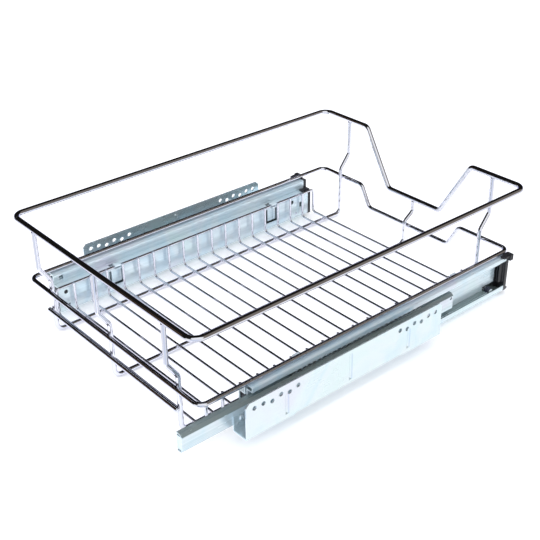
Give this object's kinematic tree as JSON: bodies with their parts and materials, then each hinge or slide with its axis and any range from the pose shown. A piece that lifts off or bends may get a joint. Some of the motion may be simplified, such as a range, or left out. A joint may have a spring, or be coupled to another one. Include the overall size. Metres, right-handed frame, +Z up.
{
  "type": "pull out pantry frame",
  "caption": "Chromed wire pull out pantry basket with a dipped front, clipped onto full extension ball bearing slides with side mounting brackets.",
  "frame": {"origin": "on the floor plane under the runners, below the middle of the whole object's box at rest", "axes": "+X across the cabinet to the right slide, +Y towards the back of the cabinet, +Z up"},
  "size_m": [0.36, 0.478, 0.134],
  "materials": {
    "chrome_wire": "bright chrome plating",
    "zinc_sheet": "bright blue passivated zinc",
    "cage_steel": "plain steel strip",
    "ball_steel": "polished",
    "rivet_steel": "pressed rivet heads",
    "black_plastic": "satin moulded",
    "dark_rubber": "soft rubber"
  },
  "bodies": {
    "basket": {"top_rim": "chrome_wire", "middle_rim": "chrome_wire", "rear_cross_wire": "chrome_wire", "left_runner": "chrome_wire", "middle_runner": "chrome_wire", "right_runner": "chrome_wire", "floor_wires": "chrome_wire", "floor_loop": "chrome_wire", "left_drawer_rail": "zinc_sheet", "left_front_cap": "black_plastic", "left_rear_buffer": "black_plastic", "left_stop_roller": "dark_rubber", "left_stop_pin": "zinc_sheet", "right_drawer_rail": "zinc_sheet", "right_front_cap": "black_plastic", "right_rear_buffer": "black_plastic", "right_stop_roller": "dark_rubber", "right_stop_pin": "zinc_sheet"},
    "left_middle": {"left_middle_rail": "zinc_sheet"},
    "left_cabinet": {"left_cabinet_rail": "zinc_sheet", "left_bracket": "zinc_sheet", "left_bracket_rivets": "rivet_steel"},
    "left_outer_cage_set": {"left_outer_cage": "cage_steel", "left_outer_balls": "ball_steel"},
    "left_inner_cage_set": {"left_inner_cage": "cage_steel", "left_inner_balls": "ball_steel"},
    "right_middle": {"right_middle_rail": "zinc_sheet"},
    "right_cabinet": {"right_cabinet_rail": "zinc_sheet", "right_bracket": "zinc_sheet", "right_bracket_rivets": "rivet_steel"},
    "right_outer_cage_set": {"right_outer_cage": "cage_steel", "right_outer_balls": "ball_steel"},
    "right_inner_cage_set": {"right_inner_cage": "cage_steel", "right_inner_balls": "ball_steel"}
  },
  "joints": [
    {"name": "left_middle_slide", "type": "slide", "parent": "basket", "child": "left_middle", "axis": [0, 1, 0], "range_m": [0, 0.18]},
    {"name": "left_cabinet_slide", "type": "slide", "parent": "left_middle", "child": "left_cabinet", "axis": [0, 1, 0], "range_m": [-0.083, 0.097]},
    {"name": "left_outer_cage_slide", "type": "slide", "parent": "basket", "child": "left_outer_cage_set", "axis": [0, 1, 0], "range_m": [0, 0.09]},
    {"name": "left_inner_cage_slide", "type": "slide", "parent": "left_middle", "child": "left_inner_cage_set", "axis": [0, 1, 0], "range_m": [-0.0415, 0.0485]},
    {"name": "right_middle_slide", "type": "slide", "parent": "basket", "child": "right_middle", "axis": [0, 1, 0], "range_m": [0, 0.18]},
    {"name": "right_cabinet_slide", "type": "slide", "parent": "right_middle", "child": "right_cabinet", "axis": [0, 1, 0], "range_m": [0, 0.18]},
    {"name": "right_outer_cage_slide", "type": "slide", "parent": "basket", "child": "right_outer_cage_set", "axis": [0, 1, 0], "range_m": [0, 0.09]},
    {"name": "right_inner_cage_slide", "type": "slide", "parent": "right_middle", "child": "right_inner_cage_set", "axis": [0, 1, 0], "range_m": [0, 0.09]}
  ],
  "couplings": [
    {"joint": "left_outer_cage_slide", "follows": "left_middle_slide", "ratio": 0.5},
    {"joint": "left_inner_cage_slide", "follows": "left_cabinet_slide", "ratio": 0.5},
    {"joint": "right_outer_cage_slide", "follows": "right_middle_slide", "ratio": 0.5},
    {"joint": "right_inner_cage_slide", "follows": "right_cabinet_slide", "ratio": 0.5}
  ]
}
